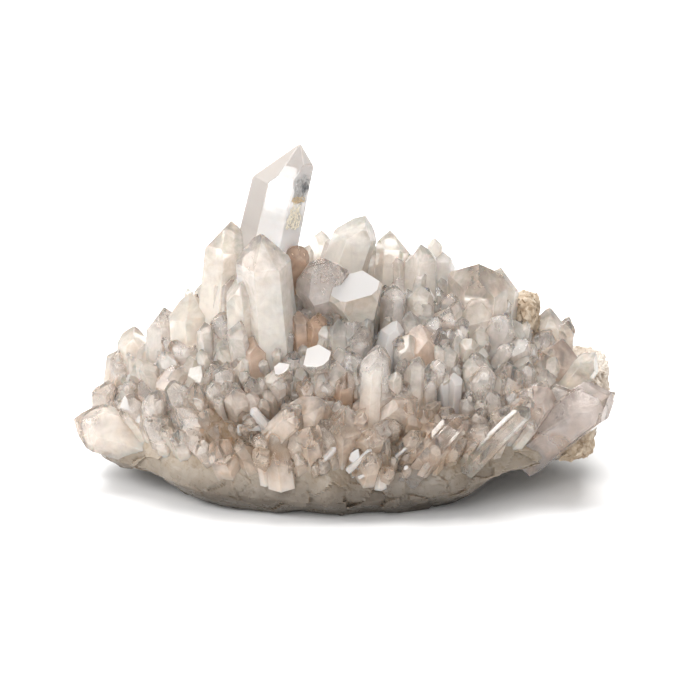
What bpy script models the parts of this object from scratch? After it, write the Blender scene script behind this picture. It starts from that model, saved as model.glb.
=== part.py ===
"""Quartz crystal cluster, 150 mm wide: a milky quartz mass with a flat cut foot, the crystals grown together
with it as one solid, and three remnants of host rock.

+Z is up, the origin is under the middle of the object on the surface that it rests on, and the showing side
faces -Y. The crystals that give the cluster its outline are set out on a sheet that leans back from vertical:
u runs to the right along it and v up along it, both in millimetres, with v = 0 at the front edge of the foot.
Each of them grows from the mass where its axis, followed back from its tip, meets the mass.
"""

import math
from collections import namedtuple

import bmesh
import bpy
import numpy as np
from mathutils import Vector, noise

MM = 0.001

SHEET_LEAN = math.radians(17)
FOOT_FRONT = 34.0  # mm from the layout's middle line to the front edge of the foot
MIDDLE = (-0.8, -0.1)  # where the middle of the finished object lies in the layout

# The mass: half its length and depth, and the heights in mm of its crest and its widest line along x.
HALF_LENGTH = 69.0
HALF_DEPTH = 43.0
CREST = ((-69, 12), (-60, 21), (-50, 31), (-40, 41), (-30, 47), (-18, 50), (0, 49), (15, 46), (30, 42),
         (42, 37), (52, 31), (62, 24), (69, 15))
WIDEST = ((-69, 9), (-55, 9), (-42, 7), (-25, 6), (15, 6), (30, 8), (45, 12), (60, 12), (69, 13))
UNDERSIDE = ((-69, 3), (-50, 5), (-42, 11), (-25, 14), (15, 14), (30, 12), (40, 6), (60, 4), (69, 3))
DOME_POWER = 1.4
UNDERSIDE_POWER = 1.5
MASS_RINGS = 16
MASS_SEGMENTS = 30
LUMP_SIZE = 17.0
LUMP_HEIGHT = 1.6
LUMP_SEED = Vector((3.1, 7.7, 1.9))

# Quartz: the six end faces of a crystal slope at 38.2 degrees to its axis.
END_SLOPE = math.tan(math.radians(90 - 38.2))
TAPER = 0.02
ROOT_DEPTH = 5.5
ROOT_SHARE = 0.5  # of the height of a low root over the foot
LYING_LEAN = 35  # a crystal that leans by more than this is rooted deeper
LYING_ROOT_DEPTH = 9.0

# How far the end faces stand off from the tip, as shares of the width: every second one by ALTERNATE, each
# by up to UNEVEN, and all but the leading one of a crystal by LEAD. A crystal tilted by more than
# CLEAVED_TILT is broken across, and its leading face takes up the whole end.
ALTERNATE = 0.16
UNEVEN = 0.2
LEAD = 0.3
CLEAVED_LEAD = 0.8
CLEAVED_TILT = 70
LEAN_SCATTER = 12.0
SIDE_SHARE = (0.4, 0.18)  # of the width: the least half width, and what chance adds to it

# u, v, lean to the right, tilt to the front, length, width, turn about the axis, sideways shift of the tip,
# and the number of the end face that leads, 1 for the front one and 0 for none. Lengths in mm, angles in
# degrees, and the shift is a share of the width.
CRYSTALS = (
    # left wing
    (-75.3, 24.5, -72, 8, 15, 14, 10, 0.0, 0),
    (-66.8, 35.2, -6, 12, 12, 6.5, 20, 0.1, 4),
    (-59.5, 50.4, 1, 10, 19, 9.5, 0, -0.05, 0),
    (-55.2, 47.2, 0, 5, 14, 5, 15, 0.1, 0),
    (-50.4, 56.0, -2, 12, 19, 10, 24, 0.1, 0),
    (-43.7, 59.5, -4, 14, 19, 11, 14, 0.05, 0),
    (-47.5, 54.5, -3, 8, 14, 5, 10, 0.0, 0),
    (-40.4, 49.0, 12, 15, 7, 2.2, 0, 0.0, 0),
    (-33.5, 49.3, 22, 22, 10, 4.5, 10, 0.0, 0),
    (-48.0, 40.0, -8, 25, 12, 8, 25, 0.1, 0),
    (-57.0, 36.0, -15, 30, 10, 8, 5, 0.0, 0),
    (-40.0, 40.0, 5, 30, 10, 7, 18, -0.1, 0),
    # crest, left of the tall point
    (-39.0, 64.0, -2, 8, 17, 5.5, 12, 0.0, 0),
    (-32.5, 79.3, 1, 14, 34, 12, 22, 0.05, 0),
    (-24.0, 75.6, 0, 26, 36, 12.8, 5, 0.0, 0),
    (-27.5, 65.5, -3, 28, 26, 10.5, 28, 0.1, 0),
    (-34.5, 59.0, -6, 22, 13, 7.5, 8, 0.0, 0),
    # crest, right of the tall point
    (-8.0, 68.5, -8, 40, 21, 14, 0, 0.0, 1),
    (-7.0, 77.6, 3, 8, 19, 5.5, 12, 0.0, 0),
    (-3.0, 75.6, 4, 6, 17, 6, 0, 0.1, 0),
    (5.4, 81.3, 18, 8, 26, 10, 16, 0.1, 0),
    (11.6, 77.2, -2, 10, 22, 8, 5, -0.15, 0),
    (16.2, 72.5, 2, 5, 17, 5, 20, 0.0, 0),
    (20.5, 73.6, 0, 12, 22, 8.5, 27, 0.0, 0),
    (24.5, 75.4, 2, 4, 17, 3.5, 10, 0.0, 0),
    (27.0, 71.4, 2, 12, 19, 6, 3, 0.0, 0),
    (36.5, 66.8, 0, 30, 22, 14, 0, 0.0, 4),
    (43.0, 66.6, 3, 10, 21, 8, 12, -0.2, 3),
    (43.2, 63.8, 2, 16, 17, 7, 25, 0.1, 0),
    (36.0, 61.0, 0, 20, 13, 7, 12, 0.0, 0),
    # right wing
    (57.0, 55.6, 8, 10, 14, 9, 10, 0.0, 0),
    (61.5, 52.5, 15, 8, 13, 6.5, 25, 0.0, 0),
    (60.0, 47.5, 22, 25, 13, 12, 15, 0.0, 0),
    (69.0, 43.5, 35, 5, 16, 7, 12, 0.0, 0),
    (72.2, 33.0, 58, 28, 25, 11.2, 24, 0.0, 0),
    (46.0, 53.0, 2, 22, 13, 9, 8, 0.0, 0),
    (50.0, 41.0, 4, 22, 12, 4.5, 18, 0.0, 0),
    (44.0, 41.0, -3, 28, 12, 8, 27, 0.0, 0),
    (55.0, 34.0, 30, 35, 14, 9, 5, 0.0, 0),
    # middle
    (2.5, 60.5, 6, 79, 25, 15, 26, 0.0, 4),
    (-13.5, 55.0, -4, 20, 13, 5.5, 7, 0.0, 0),
    (-8.0, 54.5, 3, 22, 13, 5.5, 20, 0.0, 0),
    (-2.5, 52.6, 0, 22, 13, 6, 10, 0.1, 0),
    (4.4, 50.5, 5, 22, 13, 7, 3, 0.1, 0),
    (13.5, 52.0, 12, 20, 14, 6.5, 14, 0.1, 0),
    (20.0, 51.0, -3, 24, 14, 9, 26, 0.0, 0),
    (25.5, 50.5, 2, 20, 14, 7, 5, 0.1, 0),
    (13.0, 62.0, 5, 18, 16, 7, 19, 0.0, 0),
    (20.0, 62.0, -4, 20, 16, 6.5, 2, 0.0, 0),
    (29.0, 60.0, 3, 20, 14, 6.5, 25, 0.0, 0),
    (-19.6, 55.4, -5, 20, 14, 6, 8, 0.0, 0),
    (-25.5, 48.0, -3, 28, 13, 7, 15, 0.0, 0),
    (-8.3, 42.0, -4, 79, 14, 8, 16, 0.0, 4),
    (-17.8, 39.0, -5, 78, 13, 4.6, 28, 0.0, 4),
    (28.0, 45.5, 2, 20, 12, 6.5, 12, 0.0, 0),
    # lower middle
    (-11.5, 37.5, -2, 25, 12, 5, 22, 0.0, 0),
    (-7.0, 38.6, 0, 25, 14, 4.6, 5, 0.0, 0),
    (0.0, 38.5, 2, 28, 12, 6, 17, 0.0, 0),
    (8.5, 45.5, 0, 20, 23, 8, 12, 0.15, 0),
    (18.7, 41.5, 0, 22, 17, 5.2, 5, 0.0, 0),
    (22.5, 40.5, 3, 24, 14, 5, 20, 0.0, 0),
    (26.0, 38.2, -4, 26, 11, 4, 8, 0.0, 0),
    (29.5, 38.0, 4, 26, 11, 4.2, 24, 0.0, 0),
    (34.3, 42.2, -2, 22, 15, 5, 14, 0.0, 0),
    (37.5, 40.4, 0, 26, 17, 6.8, 3, 0.0, 0),
    (19.3, 31.0, 50, 25, 16, 8, 30, 0.0, 0),
    (-0.5, 28.2, -3, 40, 14, 11, 29, 0.0, 0),
    (-6.0, 30.5, 45, 35, 16, 10, 3, 0.0, 0),
    (31.0, 26.2, 39, 38, 26, 6.5, 12, 0.0, 0),
    (49.4, 28.4, 49, 37, 30, 4.8, 24, 0.0, 0),
    (-18.0, 24.5, 0, 30, 12, 9, 10, 0.0, 4),
    (9.5, 23.2, 3, 26, 12, 5, 20, 0.0, 0),
    (-34.8, 23.5, -8, 60, 12, 8, 0, 0.0, 0),
    (-22.0, 22.2, 86, 2, 10, 4, 0, 0.0, 0),
    (-26.0, 28.6, -45, 15, 9, 2, 0, 0.0, 0),
    (6.9, 17.6, 54, 20, 11, 2.2, 7, 0.0, 0),
    (6.2, 15.0, 50, 20, 9, 2, 20, 0.0, 0),
    (6.0, 21.8, 70, 20, 8, 2, 0, 0.0, 0),
    (-13.4, 73.0, 4, 42, 24, 5.5, 10, 0.0, 0),
)

# The tall clear point: its first values as above, then the distance of each side face from the axis, from the
# front face on to the right, and the place of its tip across the axis, to the right and to the front.
TALL_POINT = (-12.8, 101.2, 12.5, 12, 54)
TALL_SIDES = (8.0, 6.9, 6.9, 8.0, 6.9, 6.9)
TALL_TIP_SHIFT = (2.9, 0.8)

# Crystals that cover the rest of the mass: how many places are tried, and the room each one keeps.
COVER_TRIES = 430
COVER_ROOM = 7.4
COVER_LENGTH = (9.0, 16.0)
COVER_WIDTH = (6.0, 10.0)
COVER_LOWEST = 6.5
COVER_SEED = 2.0
COVER_SPAN = (0.94, 0.97)  # of the half length and half depth of the mass
COVER_FIRST = 1000  # the number of the first covering crystal, which its chances come from
# The highest v that a covering crystal may reach along u.
OUTLINE = ((-76, 18), (-68, 28), (-60, 42), (-50, 50), (-40, 56), (-30, 68), (-20, 72), (-5, 70), (10, 70),
           (25, 66), (40, 60), (50, 53), (60, 46), (68, 38), (76, 30))

# Host rock: middle, half sizes and seed of each lump, in mm.
ROCK_GAP = 0.35
ROCKS = {
    "host_rock_rim": ((65.0, 8.0, 24.8), (8.0, 16.0, 6.0), 4.0),
    "host_rock_low": ((62.0, -12.0, 15.5), (6.0, 9.0, 6.0), 6.0),
    "host_rock_crest": ((48.5, 12.0, 40.5), (5.2, 8.5, 7.5), 9.0),
}
ROCK_ROUGHNESS = 0.28
ROCK_CLEARANCE = 1.2  # covering crystals root this many half lengths of a lump away from it
ROCK_REACH = 4.0  # crystals rooted within this many half lengths may meet it


def clear_scene():
    for obj in list(bpy.data.objects):
        bpy.data.objects.remove(obj, do_unlink=True)


def make_material(name, colour, roughness):
    material = bpy.data.materials.new(name)
    material.use_nodes = True
    shader = material.node_tree.nodes["Principled BSDF"]
    shader.inputs["Base Color"].default_value = (*colour, 1)
    shader.inputs["Roughness"].default_value = roughness
    shader.inputs["Metallic"].default_value = 0
    return material


def make_object(name, bm, material, helper=False):
    mesh = bpy.data.meshes.new(name)
    bm.to_mesh(mesh)
    bm.free()
    mesh.materials.append(material)
    obj = bpy.data.objects.new(name, mesh)
    bpy.context.scene.collection.objects.link(obj)
    if helper:
        obj.hide_render = True
        obj.display_type = "WIRE"
    return obj


def along(table, x):
    """The value that a table of (place, value) pairs gives at x, on a straight line between its places."""
    places, values = zip(*table)
    return float(np.interp(x, places, values))


def half_depth(x):
    return HALF_DEPTH * math.sqrt(max(0.0, 1 - (x / HALF_LENGTH) ** 2))


def mass_top(x, y):
    """Height of the top of the mass at x, y inside its plan."""
    depth = half_depth(x)
    share = max(0.0, 1 - (y / depth) ** 2) ** 0.5 if depth > 0 else 0.0
    widest = along(WIDEST, x)
    return widest + (along(CREST, x) - widest) * share**DOME_POWER


def sheet_v(y, z):
    return (y + FOOT_FRONT) * math.sin(SHEET_LEAN) + z * math.cos(SHEET_LEAN)


def point_on_mass(u, v):
    """The point of the front of the mass that lies at u, v on the sheet, or at the nearest v it has there."""
    x = max(-0.96 * HALF_LENGTH, min(0.96 * HALF_LENGTH, u))
    ys = np.linspace(-0.99, 0.9, 80) * half_depth(x)
    heights = [mass_top(x, y) for y in ys]
    vs = [sheet_v(y, z) for y, z in zip(ys, heights)]
    crest = int(np.argmax(vs))
    y = float(np.interp(v, vs[: crest + 1], ys[: crest + 1]))
    return Vector((u, y, (v - (y + FOOT_FRONT) * math.sin(SHEET_LEAN)) / math.cos(SHEET_LEAN)))


def sheet_axes(lean, tilt):
    """A crystal's axis, and the directions across it to the right and to the front, from its angles."""
    right = Vector((1, 0, 0))
    up = Vector((0, math.sin(SHEET_LEAN), math.cos(SHEET_LEAN)))
    front = Vector((0, -math.cos(SHEET_LEAN), math.sin(SHEET_LEAN)))
    lean, tilt = math.radians(lean), math.radians(tilt)
    axis = (right * math.sin(lean) + up * math.cos(lean)) * math.cos(tilt) + front * math.sin(tilt)
    across = (right * math.cos(lean) - up * math.sin(lean)).normalized()
    return axis.normalized(), across, across.cross(axis).normalized()


def chance(index, channel):
    """A repeatable number from 0 to 1 for a whole number."""
    value = math.sin(index * 12.9898 + channel * 78.233) * 43758.5453
    return value - math.floor(value)


def side_distances(index, width):
    return [width * (SIDE_SHARE[0] + SIDE_SHARE[1] * chance(index, i)) for i in range(6)]


def end_offsets(index, width, lead=0, stand_off=LEAD):
    """How far above the tip each end face crosses the axis."""
    odd = round(chance(index, 21))
    offsets = [ALTERNATE * ((i + odd) % 2) + UNEVEN * chance(index, 10 + i) ** 2 for i in range(6)]
    if lead:
        offsets = [offset + stand_off * (i != lead - 1) for i, offset in enumerate(offsets)]
    return [width * (offset - min(offsets)) for offset in offsets]


Crystal = namedtuple(
    "Crystal", "tip axis across front length sides turn shift ends depth", defaults=(ROOT_DEPTH,)
)


def crystal_root(crystal):
    return crystal.tip - crystal.axis * crystal.length


def cut_crystal(crystal, grow=0.0):
    """A six-sided crystal: a bar along the axis, cut by six side planes and by six end planes that pass
    near its tip. sides are the distances of the side planes from the axis, shift is the place of the tip
    across the axis, and ends are how far above the tip the end planes cross the axis. Grown, it keeps its
    shape with every plane moved out."""
    axis, across, front = crystal.axis, crystal.across, crystal.front
    root = crystal_root(crystal)
    depth = min(crystal.depth, ROOT_SHARE * root.z / max(axis.z, 0.1))
    foot = root - axis * depth
    reach = 2.5 * max(crystal.sides)
    bm = bmesh.new()
    bmesh.ops.create_cube(bm, size=1)
    for vert in bm.verts:
        place = vert.co
        vert.co = (
            foot
            + axis * ((place.z + 0.5) * (crystal.length + depth + reach))
            + across * (place.x * 2 * reach)
            + front * (place.y * 2 * reach)
        )
    centre = crystal.tip - across * crystal.shift[0] - front * crystal.shift[1]
    for i in range(6):
        angle = math.radians(crystal.turn + 60 * i - 90)
        outward = across * math.cos(angle) - front * math.sin(angle)
        side_normal = (outward + axis * TAPER).normalized()
        side_point = centre - axis * (0.8 * max(crystal.sides)) + outward * crystal.sides[i]
        end_normal = (outward * END_SLOPE + axis).normalized()
        end_point = crystal.tip + axis * crystal.ends[i]
        for point, normal in ((side_point, side_normal), (end_point, end_normal)):
            cut = bmesh.ops.bisect_plane(
                bm,
                geom=bm.verts[:] + bm.edges[:] + bm.faces[:],
                dist=1e-6,
                plane_co=point + normal * grow,
                plane_no=normal,
                clear_outer=True,
            )
            edges = [item for item in cut["geom_cut"] if isinstance(item, bmesh.types.BMEdge)]
            if len(edges) > 2:
                bmesh.ops.contextual_create(bm, geom=edges)
    bmesh.ops.recalc_face_normals(bm, faces=bm.faces[:])
    return bm


def sheet_crystal(index, row):
    """A crystal of the sheet. Its side faces differ a little, as grown ones do."""
    u, v, lean, tilt, length, width, turn, shift, lead = row
    depth = LYING_ROOT_DEPTH if abs(lean) > LYING_LEAN else ROOT_DEPTH
    lean += LEAN_SCATTER * (chance(index, 31) - 0.5)
    axis, across, front = sheet_axes(lean, tilt)
    shown = length * math.cos(math.radians(tilt))
    slant = math.radians(lean)
    root = point_on_mass(u - shown * math.sin(slant), v - shown * math.cos(slant))
    sides = side_distances(index, width)
    ends = end_offsets(index, width, lead, CLEAVED_LEAD if tilt > CLEAVED_TILT else LEAD)
    place = (shift * width, width * 0.12 * (chance(index, 20) - 0.3))
    return Crystal(root + axis * length, axis, across, front, length, sides, turn, place, ends, depth)


def tall_point():
    u, v, lean, tilt, length = TALL_POINT
    axis, across, front = sheet_axes(lean, tilt)
    shown = length * math.cos(math.radians(tilt))
    slant = math.radians(lean)
    root = point_on_mass(u - shown * math.sin(slant), v - shown * math.cos(slant))
    return Crystal(root + axis * length, axis, across, front, length, TALL_SIDES, 0, TALL_TIP_SHIFT, [0] * 6)


def outward_from_mass(x, y):
    """The direction square to the top of the mass at x, y."""
    step = 1.0
    slope_x = (mass_top(x + step, y) - mass_top(x - step, y)) / (2 * step)
    slope_y = (mass_top(x, y + step) - mass_top(x, y - step)) / (2 * step)
    return Vector((-slope_x, -slope_y, 1)).normalized()


def near_rock(place, lengths):
    """Whether a place is within so many half lengths of a lump of rock, in plan."""
    return any(
        math.hypot(place.x - middle[0], place.y - middle[1]) < lengths * half[0]
        for middle, half, _ in ROCKS.values()
    )


def cover_crystals(taken):
    """Smaller crystals on a sunflower pattern over the mass, where no other root is near."""
    golden = math.pi * (3 - math.sqrt(5))
    made = []
    for i in range(COVER_TRIES):
        radius = math.sin(math.pi / 2 * math.sqrt((i + 0.5) / COVER_TRIES))
        x = COVER_SPAN[0] * HALF_LENGTH * radius * math.cos(golden * i + COVER_SEED)
        y = COVER_SPAN[1] * HALF_DEPTH * radius * math.sin(golden * i + COVER_SEED)
        root = Vector((x, y, mass_top(x, y)))
        if root.z < COVER_LOWEST or any((root - other).length < COVER_ROOM for other in taken):
            continue
        index = COVER_FIRST + i
        scatter = Vector((chance(index, 1) - 0.5, chance(index, 2) - 0.5, 0))
        axis = (outward_from_mass(x, y) + Vector((0, 0, 0.9)) + scatter * 0.95).normalized()
        across = Vector((0, -1, 0)).cross(axis).normalized()
        front = across.cross(axis)
        length = COVER_LENGTH[0] + (COVER_LENGTH[1] - COVER_LENGTH[0]) * chance(index, 3)
        width = COVER_WIDTH[0] + (COVER_WIDTH[1] - COVER_WIDTH[0]) * chance(index, 4)
        tip = root + axis * length
        length -= max(0.0, sheet_v(tip.y, tip.z) - along(OUTLINE, tip.x))
        if length < COVER_LENGTH[0] / 2 or near_rock(root, ROCK_CLEARANCE):
            continue
        taken.append(root)
        tip = root + axis * length
        sides = side_distances(index, width)
        ends = end_offsets(index, width)
        shift = (width * 0.4 * (chance(index, 25) - 0.5), width * 0.4 * (chance(index, 26) - 0.5))
        made.append(Crystal(tip, axis, across, front, length, sides, 60 * chance(index, 27), shift, ends))
    return made


def mass(grow=0.0):
    """The quartz mass: half-ovals carried along x, with their crest and underside from the tables, lumps
    on its skin, and the foot cut flat."""
    bm = bmesh.new()
    bmesh.ops.create_uvsphere(bm, u_segments=MASS_SEGMENTS, v_segments=MASS_RINGS, radius=1)
    for vert in bm.verts:
        x = vert.co.z * HALF_LENGTH
        spread = math.hypot(vert.co.x, vert.co.y)
        across = vert.co.x / spread if spread > 1e-6 else 0.0
        height = vert.co.y / spread if spread > 1e-6 else 0.0
        y = half_depth(x) * across
        widest = along(WIDEST, x)
        if height >= 0:
            z = widest + (along(CREST, x) - widest) * height**DOME_POWER
        else:
            z = widest - along(UNDERSIDE, x) * (-height) ** UNDERSIDE_POWER
        place = Vector((x, y, z))
        lump = noise.noise(place / LUMP_SIZE + LUMP_SEED) * LUMP_HEIGHT + grow
        outward = (place - Vector((0.9 * x, 0, widest))).normalized()
        vert.co = place + outward * lump
    everything = bm.verts[:] + bm.edges[:] + bm.faces[:]
    cut = bmesh.ops.bisect_plane(
        bm, geom=everything, plane_co=(0, 0, 0), plane_no=(0, 0, -1), clear_outer=True
    )
    edges = [item for item in cut["geom_cut"] if isinstance(item, bmesh.types.BMEdge)]
    bmesh.ops.contextual_create(bm, geom=edges)
    bmesh.ops.recalc_face_normals(bm, faces=bm.faces[:])
    return bm


def rock(middle, half, seed):
    """A rough lump: a squarish ball stretched to its half sizes, with noise for its broken skin."""
    bm = bmesh.new()
    bmesh.ops.create_icosphere(bm, subdivisions=2, radius=1)
    for vert in bm.verts:
        square = sum(abs(value) ** 3 for value in vert.co) ** (1 / 3)
        shape = noise.noise(vert.co * 1.7 + Vector((seed, 0, 0))) + 0.5 * noise.noise(vert.co * 4.1)
        swell = (0.95 + ROCK_ROUGHNESS * shape) / square
        vert.co = Vector([m + h * c * swell for m, h, c in zip(middle, half, vert.co)])
    bmesh.ops.recalc_face_normals(bm, faces=bm.faces[:])
    return bm


def to_metres(bm):
    """From layout millimetres to metres about the origin."""
    bmesh.ops.translate(bm, vec=(-MIDDLE[0], -MIDDLE[1], 0), verts=bm.verts[:])
    bmesh.ops.scale(bm, vec=(MM, MM, MM), verts=bm.verts[:])
    return bm


def boolean(obj, operation, collection):
    modifier = obj.modifiers.new(operation.title(), "BOOLEAN")
    modifier.operation = operation
    modifier.operand_type = "COLLECTION"
    modifier.collection = collection
    modifier.solver = "EXACT"
    modifier.use_self = True


def keep_outer_skin(obj):
    """Applies the modifiers and drops the walls of pockets that crystals close off between them."""
    graph = bpy.context.evaluated_depsgraph_get()
    bm = bmesh.new()
    bm.from_object(obj, graph)
    unseen = set(bm.faces)
    skins = []
    while unseen:
        skin = []
        edge_of_search = [unseen.pop()]
        while edge_of_search:
            face = edge_of_search.pop()
            skin.append(face)
            near = {other for edge in face.edges for other in edge.link_faces} & unseen
            unseen -= near
            edge_of_search.extend(near)
        skins.append(skin)
    skins.sort(key=len)
    for skin in skins[:-1]:
        bmesh.ops.delete(bm, geom=skin, context="FACES")
    obj.modifiers.clear()
    bm.to_mesh(obj.data)
    bm.free()


def helpers(name, shapes, material):
    """The shapes as wire helpers in a collection that is not rendered."""
    collection = bpy.data.collections.new(name)
    collection.hide_render = True
    bpy.context.scene.collection.children.link(collection)
    for i, bm in enumerate(shapes):
        obj = make_object(f"{name}_{i:03d}", to_metres(bm), material, helper=True)
        bpy.context.scene.collection.objects.unlink(obj)
        collection.objects.link(obj)
    return collection


def main():
    clear_scene()
    quartz = make_material("quartz", (0.86, 0.80, 0.75), 0.18)
    rock_skin = make_material("host_rock", (0.62, 0.52, 0.40), 0.9)

    crystals = [sheet_crystal(i, row) for i, row in enumerate(CRYSTALS)] + [tall_point()]
    crystals += cover_crystals([crystal_root(crystal) for crystal in crystals])
    cluster = make_object("quartz_cluster", to_metres(mass()), quartz)
    boolean(cluster, "UNION", helpers("crystal", [cut_crystal(crystal) for crystal in crystals], quartz))
    keep_outer_skin(cluster)

    neighbours = [crystal for crystal in crystals if near_rock(crystal_root(crystal), ROCK_REACH)]
    room = [mass(ROCK_GAP)] + [cut_crystal(crystal, ROCK_GAP) for crystal in neighbours]
    cutters = helpers("room_for_quartz", room, rock_skin)
    for name, (middle, half, seed) in ROCKS.items():
        lump = make_object(name, to_metres(rock(middle, half, seed)), rock_skin)
        boolean(lump, "DIFFERENCE", cutters)
        keep_outer_skin(lump)


main()
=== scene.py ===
import itertools
import math

import bpy
import numpy as np
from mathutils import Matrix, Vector


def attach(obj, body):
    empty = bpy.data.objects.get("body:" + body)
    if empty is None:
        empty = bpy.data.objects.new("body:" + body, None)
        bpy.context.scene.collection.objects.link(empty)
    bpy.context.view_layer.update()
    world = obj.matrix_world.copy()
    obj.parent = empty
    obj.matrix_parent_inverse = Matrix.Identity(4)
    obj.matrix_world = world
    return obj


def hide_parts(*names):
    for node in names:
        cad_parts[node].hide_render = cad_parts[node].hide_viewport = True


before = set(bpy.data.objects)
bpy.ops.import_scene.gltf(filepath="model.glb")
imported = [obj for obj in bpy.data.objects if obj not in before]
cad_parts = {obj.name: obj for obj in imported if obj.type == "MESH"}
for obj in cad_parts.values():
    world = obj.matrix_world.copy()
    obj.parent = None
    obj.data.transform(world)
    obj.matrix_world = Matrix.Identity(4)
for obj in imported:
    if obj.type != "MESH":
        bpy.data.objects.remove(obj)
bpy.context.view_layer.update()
mm = 0.001

# The layout repeats the solid's: u runs right and v up on a sheet that leans back, all in mm.
# middle is where the middle of the finished object lies on the layout's plan.
layout = {"lean": 17.0, "footFront": 34.0, "middle": (-0.8, -0.1)}
leanSin = math.sin(math.radians(layout["lean"]))
leanCos = math.cos(math.radians(layout["lean"]))

# The milky mass: crest, widest line and how far the underside drops below it, as x and height in mm
massShape = {
    "halfLength": 69.0, "halfDepth": 43.0, "domePower": 1.4, "undersidePower": 1.5,
    "crest": ((-69, 12), (-60, 21), (-50, 31), (-40, 41), (-30, 47), (-18, 50), (0, 49), (15, 46),
              (30, 42), (42, 37), (52, 31), (62, 24), (69, 15)),
    "widest": ((-69, 9), (-55, 9), (-42, 7), (-25, 6), (15, 6), (30, 8), (45, 12), (60, 12), (69, 13)),
    "underside": ((-69, 3), (-50, 5), (-42, 11), (-25, 14), (15, 14), (30, 12), (40, 6), (60, 4), (69, 3)),
    "around": 340, "along": 280,
    # how far along and from front to back crystals are rooted, as shares of the half sizes
    "rootsAlong": 0.96, "rootsAcross": (-0.99, 0.9), "sightSteps": 80,
}

crystalShape = {
    "endSlope": math.tan(math.radians(90 - 38.2)),  # quartz: the end faces lie at 38.2 degrees to the axis
    "taper": 0.02, "bevel": 0.12, "bevelAngle": 15, "leanScatter": 12, "tipShift": (0.12, 0.3),
    # each side stands off from the axis by the first share of the width, and up to the second more
    "sides": (0.4, 0.18), "shoulder": 0.8,
    # end faces: the step of every second one, the scatter, and the stand-off of all but the leading one
    "endStep": 0.16, "endScatter": 0.2, "standOff": 0.3, "cleavedStandOff": 0.8,
    # a crystal tilted past this shows a cleaved end, and that end is painted milky white, a painted highlight
    "cleavedTilt": 70, "cleavedHighlightMilk": 0.85,
    # how deep the foot goes into the mass, at most the share of its height
    "rootDepth": 5.5, "lyingLean": 35, "lyingDepth": 9.0, "rootShare": 0.5,
}

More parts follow.
